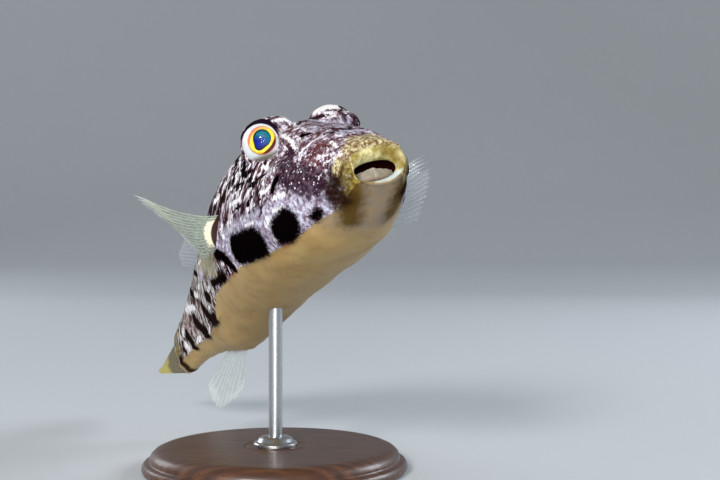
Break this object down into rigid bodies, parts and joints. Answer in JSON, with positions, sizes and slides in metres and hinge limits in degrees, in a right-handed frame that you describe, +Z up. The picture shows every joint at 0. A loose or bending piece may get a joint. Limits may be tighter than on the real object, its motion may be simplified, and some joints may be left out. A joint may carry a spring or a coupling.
{
  "type": "pufferfish model on a stand",
  "caption": "Life-size mottled pufferfish swimming nose up with spread pectoral fins, held over a round wooden base by a steel rod.",
  "frame": {"origin": "centre of the underside of the round stand base", "axes": "+Z up; the fish heads towards -Y and +X, nose up"},
  "size_m": [0.0697, 0.1242, 0.072],
  "materials": {
    "mottled_skin": "painted skin, purple-brown back marbled with white, tan belly, wet satin",
    "eye": "polished glass eye, blue pupil in a gold and orange iris",
    "tooth": "satin ivory tooth plate",
    "pectoral_web": "clear yellow-green web between pale rays",
    "clear_web": "clear grey web between pale rays",
    "tail_web": "olive web, folded",
    "stand_wood": "oiled walnut, satin",
    "stand_steel": "brushed"
  },
  "bodies": {
    "root": {"head": "mottled_skin", "trunk": "mottled_skin", "tail": "mottled_skin", "eye_right": "eye", "eye_left": "eye", "beak_lower": "tooth", "pectoral_fin_right": "pectoral_web", "pectoral_fin_left": "pectoral_web", "dorsal_fin": "clear_web", "anal_fin": "clear_web", "caudal_fin": "tail_web", "stand_base": "stand_wood", "stand_rod": "stand_steel", "stand_collar": "stand_steel"}
  },
  "joints": []
}
